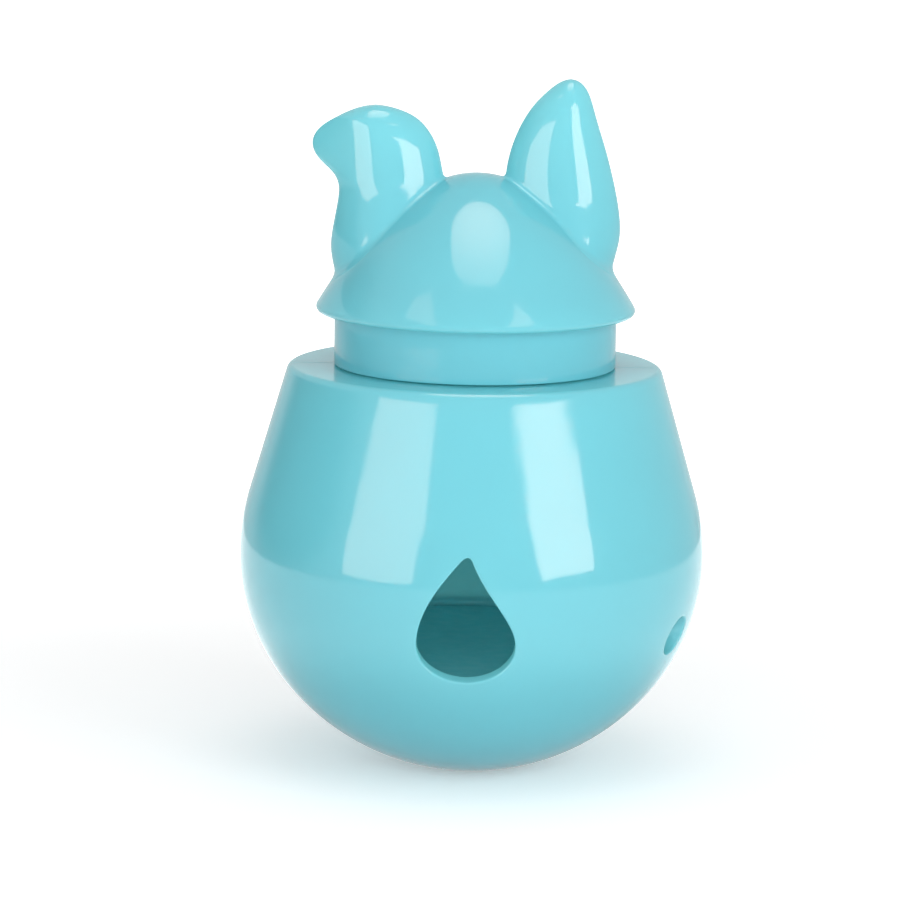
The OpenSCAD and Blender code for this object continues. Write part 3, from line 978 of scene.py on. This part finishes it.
class FEEDER_OT_cup_and_seal(Operator):
    """Build the lid's inner cup and the seal ring below its ceiling."""
    bl_idname = "feeder.cup_and_seal"
    bl_label = "Inner Cup and Seal"

    def execute(self, context):
        size = context.scene.feeder_lid
        piece = new_piece(revolve(cup_section(size)), "inner_cup", inner_satin(), "lid")
        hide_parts("lid_liner")
        ring = seal_section(size.small_round, context.scene.feeder_body.neck_bore)
        piece = new_piece(revolve(ring), "seal_ring", seal_silicone(), "seal")
        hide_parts("lid_seal")
        return {"FINISHED"}


# Thread ridges: how deep they are sunk into the wall, the share of their length over which each end runs out,
# and the share of their height that is left there
THREAD_SUNK = 0.1 * MM
THREAD_RUN_OUT = 0.08
THREAD_LEAST = 0.03


def thread_ridges(radius, out, size, low, steps=90):
    """Helical ridges on a cylinder, standing outwards for out 1 and inwards for out -1."""
    bm = bmesh.new()
    half = size.thread_width / 2
    crest = size.thread_crest * half
    root = radius - out * THREAD_SUNK
    for start in range(size.thread_starts):
        rows = []
        for k in range(steps + 1):
            s = k / steps
            run = size.thread_turn * s
            swell = THREAD_LEAST + (1 - THREAD_LEAST) * min(1, s / THREAD_RUN_OUT, (1 - s) / THREAD_RUN_OUT)
            tip = radius + out * size.thread_height * swell
            z = low + size.thread_lead * run / (2 * math.pi)
            a = 2 * math.pi * start / size.thread_starts + run
            shape = (root, -half), (tip, -crest), (tip, crest), (root, half)
            rows.append([bm.verts.new((r * math.cos(a), r * math.sin(a), z + dz)) for r, dz in shape])
        bridge(bm, *rows)
        bm.faces.new(rows[0])
        bm.faces.new(rows[-1])
    edges = [e for e in bm.edges if len(e.link_faces) == 2]
    bmesh.ops.bevel(bm, geom=edges, offset=size.thread_soft, segments=2, affect="EDGES", profile=0.5)
    return bm


class FEEDER_OT_threads(Operator):
    """Build the thread ridges on the neck and in the inner cup, in mesh with each other."""
    bl_idname = "feeder.threads"
    bl_label = "Threads"

    def execute(self, context):
        lid = context.scene.feeder_lid
        body = context.scene.feeder_body
        low = body.neck_top - body.neck_height + lid.thread_start
        pitch = lid.thread_lead / lid.thread_starts
        neck = thread_ridges(body.neck_radius, 1, lid, low)
        new_piece(neck, "neck_thread", shell_gloss(), "body", sharp=30)
        cup = thread_ridges(lid.cup_bore, -1, lid, low + pitch / 2)
        new_piece(cup, "cup_thread", inner_satin(), "lid", sharp=30)
        return {"FINISHED"}


# Ears

def smooth_rows(points, samples=14):
    """A curve through a list of points, with its ends kept."""
    p = np.array(points, float)
    p = np.concatenate([2 * p[:1] - p[1:2], p, 2 * p[-1:] - p[-2:-1]])
    s = np.linspace(0, 1, samples, endpoint=False)[:, None]
    run = []
    for a, b, c, d in zip(p, p[1:], p[2:], p[3:]):
        run.append(b + 0.5 * s * (c - a + s * (2 * a - 5 * b + 4 * c - d + s * (3 * (b - c) + d - a))))
    return np.concatenate(run + [p[-2:-1]])


def eased(points, step=0.8 * MM, passes=40, pulls=(0.5, -0.53)):
    """A curve through points, without waves shorter than the points' own spacing and with its ends kept."""
    run = smooth_rows(points)
    along = np.concatenate([[0], np.cumsum(np.linalg.norm(np.diff(run, axis=0), axis=1))])
    wanted = np.linspace(0, along[-1], max(8, round(along[-1] / step)) + 1)
    p = np.stack([np.interp(wanted, along, run[:, k]) for k in (0, 1)], axis=1)
    for _ in range(passes):
        for pull in pulls:
            p[1:-1] += pull * ((p[:-2] + p[2:]) / 2 - p[1:-1])
    return smooth_rows(p, 6)


def both_edges(heights, first, last):
    """Two edges that meet at a tip, each as rising heights and its place there, and the tip's height."""
    run = eased(np.concatenate([np.stack([heights, first], 1), np.stack([heights, last], 1)[-2::-1]]))
    turn = int(np.argmax(run[:, 0]))
    edges = [(np.maximum.accumulate(half[:, 0]), half[:, 1]) for half in (run[:turn + 1], run[turn:][::-1])]
    return *edges, run[turn, 0]


class EarForm:
    """One ear's edges and depth as smooth functions of height.

    Where the outer edge reaches past the column's edge, the outer part of the section is stretched to it
    and leans back as a bent tip does.
    """
    # The ridge's place between the edges, and how far out from it the bent part starts
    ridge_share = 0.55
    bent_from = 0.68

    def __init__(self, rows, top, column, bend):
        rows = np.array(rows) * MM
        heights = rows[:, 0] + top
        self.inner, self.outer, self.tip = both_edges(heights, rows[:, 1], rows[:, 2])
        self.depth = both_edges(heights, rows[:, 3], -rows[:, 3])[0]
        self.column = column
        self.bend = top + bend

    @staticmethod
    def section(out):
        """Thickness of the column as a share of its depth, at a share of the way out from the ridge."""
        rise = math.sqrt(max(0, 1 - out * out))
        return (rise + rise * rise) / 2

    def point(self, turn, z):
        """Point of the ear at an angle round its section and a height, for an ear on the right."""
        inner, outer = np.interp(z, *self.inner), np.interp(z, *self.outer)
        depth = max(0, np.interp(z, *self.depth))
        edge = min(outer, self.column) if z > self.bend else outer
        ridge = inner + self.ridge_share * (edge - inner)
        across, deep = math.cos(turn), math.sin(turn)
        if across < 0:
            y = depth * math.copysign(self.section(across), deep)
            return Vector((ridge + (ridge - inner) * across, y, z))
        x = ridge + (outer - ridge) * across
        half = max(TINY, edge - ridge)
        start = ridge + self.bent_from * half
        out = (x - start) / max(TINY, outer - start)
        if out <= 0:
            return Vector((x, depth * math.copysign(self.section((x - ridge) / half), deep), z))
        rise = math.sqrt(1 - self.bent_from ** 2)
        slope = depth / half * self.bent_from * (0.5 / rise + 1)
        back = slope * (outer - edge) * (out if deep < 0 else out * out)
        thick = self.section(self.bent_from + (1 - self.bent_from) * out)
        return Vector((x, depth * math.copysign(thick, deep) + back, z))


# How deep an ear's root is sunk into the hat, and the shares along its fillet that get a loop of vertices
EAR_SUNK = 0.4 * MM
FILLET_SHARES = 0, 0.25, 0.5, 0.75


def ear_mesh(form, hat, blend, side, columns=96, rings=60):
    """A closed ear on the hat with a soft fillet round its root, side -1 for left and 1 for right."""
    def in_hat(turn, z):
        p = form.point(turn, z)
        return z < hat.height(math.hypot(p.x, p.y))

    profiles = []
    for j in range(columns):
        turn = 2 * math.pi * j / columns
        _, foot = crossing(lambda z: in_hat(turn, z), hat.brim_z, form.tip)
        seat = form.point(turn, foot)
        half = (form.point(0, foot).x - form.point(math.pi, foot).x) / 2
        depth = form.point(math.pi / 2, foot).y
        flare = seat + Vector((math.cos(turn) / half, math.sin(turn) / depth, 0)).normalized() * blend
        flare.z = hat.height(math.hypot(flare.x, flare.y))
        start = foot + blend
        climb = form.point(turn, start)
        profile = [flare - Vector((0, 0, EAR_SUNK))]
        profile += [bezier(flare, seat, climb, t) for t in FILLET_SHARES]
        for k in range(rings + 1):
            z = start + (form.tip - start) * math.sin(0.5 * math.pi * k / rings)
            profile.append(form.point(turn, z))
        profiles.append([p * Vector((side, 1, 1)) for p in profile])
    *loops, last = zip(*profiles)
    bm = bmesh.new()
    made = [[bm.verts.new(p) for p in loop] for loop in loops]
    tip = bm.verts.new(sum(last, Vector()) / columns)
    bridge(bm, *made, [tip] * columns)
    bm.faces.new(made[0])
    return bm


class FEEDER_OT_ears(Operator):
    """Build the bent left ear and the upright right ear on the hat, and finish their screws."""
    bl_idname = "feeder.ears"
    bl_label = "Ears"

    def execute(self, context):
        size = context.scene.feeder_lid
        hat = HatForm(size)
        ears = (
            ("bent_ear", LEFT_EAR_FORM, -1, "left_ear"),
            ("upright_ear", RIGHT_EAR_FORM, 1, "right_ear"),
        )
        for name, rows, side, node in ears:
            form = EarForm(rows, HAT_BOX[1].z, size.ear_column, size.ear_bend)
            bm = ear_mesh(form, hat, size.ear_blend, side)
            piece = new_piece(bm, name, shell_gloss(), "lid", sharp=60)
            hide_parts(node)
        dress("ear_screws", plated_zinc())
        return {"FINISHED"}


# Stage

TARGET = Vector((0, 0, 55 * MM))
WHITE = 1, 1, 1
WARM_WHITE = 1, 0.74, 0.64
# Lamps: azimuth from the front and elevation in degrees, distance, width and height in metres, and brightness
LAMPS = {
    "left softbox": (-44, 14, 1.0, 0.62, 1.0, 0.5),
    "right softbox": (44, 10, 1.0, 0.58, 1.0, 1.95),
    "top softbox": (8, 78, 0.8, 0.5, 0.6, 0.85),
    "front softbox": (0, 12, 1.5, 1.2, 0.8, 2.25),
}
# Power of a lamp for each square metre and unit of brightness
LAMP_POWER = 4
# Cards that the gloss reflects: brightness, and corners as azimuth from the front and elevation in degrees
CARDS = {
    "left card": (6, (
        (-28.5, -6.5), (-32, -7), (-55, -7), (-65, -6.5), (-64.5, 16), (-60, 19), (-54, 23.2), (-22, 23.2),
        (-24, 21), (-26, 16))),
    "right card": (9, (
        (34, -5), (43, -3), (61, -2), (61.5, 17.5), (57, 19), (51, 21), (48, 23.2), (21, 23.2), (22, 22.7),
        (28, 20.8), (30.5, 19), (31, 6))),
    "left hat card": (3, ((-51, 54.5), (-36, 50.5), (-34, 46), (-66, 46), (-64, 50))),
    "right hat card": (4, ((41, 54), (52, 50), (54, 46), (28, 46), (30, 50))),
}
CARD_DISTANCE = 1.0
# Card overhead: distance, middle and half sizes at a height of one, how square its corners are, and its fade
TOP_CARD_DISTANCE = 0.8
TOP_CARD_MIDDLE = 0.04, -0.144
TOP_CARD_HALF = 0.32, 0.41
TOP_CARD_POWER = 3.2
# Fades: the point in the object's own space that they start from, two distances from it and the levels there
TOP_CARD_FADE = (0.03, 0, 0.85), (0.05, 0.45), (6.8, 3.8)
FLAG_FADE = (0, 0, 0), (0.45, 1), (0.2, 1)
FLOOR_GLOW_FADE = (0, 0, 0), (0.1, 0.27), (0.7, 1.9)
FLOOR_LIFT = (0, 0, 0), (0.05, 0.4), (0.32, 0.8)
# Grey flag at the left: its direction in degrees, distance and half sizes in metres
FLAG_WAY = -108, 12
FLAG_DISTANCE = 1.2
FLAG_HALF = 1.08, 0.69
# The floor, and a disc just below it that stands for it in reflections
FLOOR_HALF = 4
FLOOR_ROUGHNESS = 0.9
FLOOR_GLOW_HALF = 0.26, 0.26
FLOOR_GLOW_PLACE = Vector((0, 0, -0.5 * MM))
# White strip that keeps the shoulder from mirroring the front cards: radius, edges and angle to each side
STRIP_RADIUS = 40 * MM
STRIP_LOW = 66 * MM
STRIP_HIGH = 84 * MM
STRIP_TURN = math.radians(115)
CAMERA_NEAR = 0.01


def faded(tree, centre, reach, levels):
    """A level that passes from one value to another between two distances from a point."""
    away = add_node(tree, "VectorMath", {0: object_place(tree), 1: centre}, operation="DISTANCE")
    return map_range(tree, away.outputs["Value"], reach, levels, "SMOOTHSTEP")


def seen_directly(tree):
    """1 for rays from the camera, reflections and transmission, 0 for the rest."""
    path = add_node(tree, "LightPath", {}).outputs
    total = path["Is Camera Ray"]
    for name in ("Is Glossy Ray", "Is Transmission Ray"):
        total = math_node(tree, "MAXIMUM", total, path[name])
    return total


def white_surround(fill):
    """World that is white where it is seen and a soft fill light elsewhere."""
    world = bpy.data.worlds.new("white surround")
    world.use_nodes = True
    tree = world.node_tree
    level = map_range(tree, seen_directly(tree), (0, 1), (fill, 1))
    set_inputs(tree.nodes["Background"], {"Color": (*WHITE, 1), "Strength": level})
    bpy.context.scene.world = world


def floor_paper(colour):
    """Matt pale paper that lifts to white where it is seen and keeps the shadow."""
    material, tree, shader = new_material("floor paper")
    set_inputs(shader, {
        "Base Color": (*colour, 1),
        "Roughness": FLOOR_ROUGHNESS,
        "Specular IOR Level": 0,
        "Emission Color": (*WHITE, 1),
        "Emission Strength": math_node(tree, "MULTIPLY", seen_directly(tree), faded(tree, *FLOOR_LIFT)),
    })
    return material


def toward(azimuth, elevation):
    """Unit vector from the toy, by angles from the front and from level in degrees."""
    rise = math.radians(elevation)
    return around(math.cos(rise), math.radians(azimuth), math.sin(rise))


def face_along(thing, way, axis):
    """Turns an object so that one of its axes points along a way."""
    thing.rotation_mode = "QUATERNION"
    thing.rotation_quaternion = way.to_track_quat(axis, "Y")


def softbox(name, azimuth, elevation, distance, width, height, radiance):
    """An area lamp that looks at the toy and isn't seen in reflections, set by its own brightness."""
    back = toward(azimuth, elevation)
    light = bpy.data.lights.new(name, "AREA")
    light.shape = "RECTANGLE"
    light.size = width
    light.size_y = height
    light.energy = LAMP_POWER * radiance * width * height
    lamp = bpy.data.objects.new(name, light)
    bpy.context.scene.collection.objects.link(lamp)
    lamp.location = TARGET + back * distance
    face_along(lamp, -back, "-Z")
    lamp.visible_camera = False
    lamp.visible_glossy = False


def reflected_only(bm, name, tint, radiance=1, fade=None):
    """Turns a bmesh into a glowing stage piece that only reflections show, evenly bright or with a fade."""
    material, tree, _ = new_material(name)
    strength = faded(tree, *fade) if fade else radiance
    glow = add_node(tree, "Emission", {"Color": (*tint, 1), "Strength": strength})
    set_inputs(tree.nodes["Material Output"], {"Surface": glow})
    card = new_object(bm, name, material)
    card.visible_camera = False
    card.visible_diffuse = False
    card.visible_transmission = False
    card.visible_shadow = False
    return card


def reflected_card(name, corners, distance, radiance=1, fade=None):
    """A flat warm card that only reflections show, with its corners given by azimuth and elevation."""
    ways = [toward(*corner) for corner in corners]
    middle = sum(ways, Vector()).normalized()
    bm = bmesh.new()
    bm.faces.new([bm.verts.new(TARGET + way * (distance / way.dot(middle))) for way in ways])
    reflected_only(bm, name, WARM_WHITE, radiance, fade)


def soft_disc(name, place, facing, half, fade):
    """A round card that only reflections show, with a fade from its middle to its rim."""
    bm = bmesh.new()
    bmesh.ops.create_circle(bm, cap_ends=True, segments=64, radius=1)
    disc = reflected_only(bm, name, WHITE, fade=fade)
    disc.location = place
    disc.scale = (*half, 1)
    face_along(disc, facing, "Z")


def front_strip(steps=48):
    """A curved white strip round the toy's front that only reflections show."""
    bm = bmesh.new()
    rows = []
    for k in range(steps + 1):
        turn = STRIP_TURN * (2 * k / steps - 1)
        rows.append([bm.verts.new(around(STRIP_RADIUS, turn, z)) for z in (STRIP_LOW, STRIP_HIGH)])
    for one, two in zip(rows, rows[1:]):
        bm.faces.new((one[0], two[0], two[1], one[1]))
    reflected_only(bm, "front strip", WHITE)


def overhead_corners(count=48):
    """Corners of the card overhead, a rounded square, as azimuth and elevation."""
    corners = []
    for k in range(count):
        turn = 2 * math.pi * k / count
        x, y = (m + h * math.copysign(abs(c) ** (2 / TOP_CARD_POWER), c)
                for m, h, c in zip(TOP_CARD_MIDDLE, TOP_CARD_HALF, (math.cos(turn), math.sin(turn))))
        corners.append((math.degrees(math.atan2(x, -y)), math.degrees(math.atan2(1, math.hypot(x, y)))))
    return corners


class FEEDER_OT_stage(Operator):
    """Build the floor, the lamps, the white surround and the camera."""
    bl_idname = "feeder.stage"
    bl_label = "Stage"

    def execute(self, context):
        values = context.scene.feeder_stage
        context.scene.view_settings.view_transform = "Standard"
        bm = bmesh.new()
        bmesh.ops.create_grid(bm, x_segments=8, y_segments=8, size=FLOOR_HALF)
        floor = new_object(bm, "floor", floor_paper(values.floor_colour))
        floor.visible_glossy = False

        white_surround(values.fill)
        for name, lamp in LAMPS.items():
            softbox(name, *lamp)
        for name, (radiance, corners) in CARDS.items():
            reflected_card(name, corners, CARD_DISTANCE, radiance)
        reflected_card("top card", overhead_corners(), TOP_CARD_DISTANCE, fade=TOP_CARD_FADE)
        front_strip()
        flag = toward(*FLAG_WAY)
        soft_disc("left flag", TARGET + flag * FLAG_DISTANCE, -flag, FLAG_HALF, FLAG_FADE)
        soft_disc("floor glow", FLOOR_GLOW_PLACE, Vector((0, 0, 1)), FLOOR_GLOW_HALF, FLOOR_GLOW_FADE)

        data = bpy.data.cameras.new("camera")
        data.lens = values.lens
        data.clip_start = CAMERA_NEAR
        camera = bpy.data.objects.new("camera", data)
        context.scene.collection.objects.link(camera)
        pitch = Matrix.Rotation(math.pi / 2 - values.camera_pitch, 4, "X")
        roll = Matrix.Rotation(values.camera_roll, 4, "Z")
        camera.matrix_world = Matrix.Translation(values.camera_place) @ pitch @ roll
        context.scene.camera = camera
        return {"FINISHED"}


class FEEDER_PT_panel(Panel):
    """The feeder's build steps, sizes and finishes."""
    bl_idname = "FEEDER_PT_panel"
    bl_label = "Slow Feeder Toy"
    bl_space_type = "VIEW_3D"
    bl_region_type = "UI"
    bl_category = "Feeder"

    def draw(self, context):
        for operator in OPERATORS:
            self.layout.operator(operator.bl_idname)
        for name in GROUPS:
            group = getattr(context.scene, name)
            box = self.layout.box()
            for prop in group.bl_rna.properties.keys():
                if prop not in ("rna_type", "name"):
                    box.prop(group, prop)


GROUPS = {
    "feeder_body": FeederBody,
    "feeder_lid": FeederLid,
    "feeder_finish": FeederFinish,
    "feeder_stage": FeederStage,
}
OPERATORS = (
    FEEDER_OT_body_shells,
    FEEDER_OT_weight_and_floor,
    FEEDER_OT_hat,
    FEEDER_OT_cup_and_seal,
    FEEDER_OT_threads,
    FEEDER_OT_ears,
    FEEDER_OT_stage,
)


def register():
    for name, group in GROUPS.items():
        bpy.utils.register_class(group)
        setattr(bpy.types.Scene, name, PointerProperty(type=group))
    for operator in OPERATORS:
        bpy.utils.register_class(operator)
    bpy.utils.register_class(FEEDER_PT_panel)


def unregister():
    bpy.utils.unregister_class(FEEDER_PT_panel)
    for operator in reversed(OPERATORS):
        bpy.utils.unregister_class(operator)
    for name, group in GROUPS.items():
        delattr(bpy.types.Scene, name)
        bpy.utils.unregister_class(group)


def main():
    register()
    bpy.ops.feeder.body_shells()
    bpy.ops.feeder.weight_and_floor()
    bpy.ops.feeder.hat()
    bpy.ops.feeder.cup_and_seal()
    bpy.ops.feeder.threads()
    bpy.ops.feeder.ears()
    bpy.ops.feeder.stage()


if __name__ == "__main__":
    main()
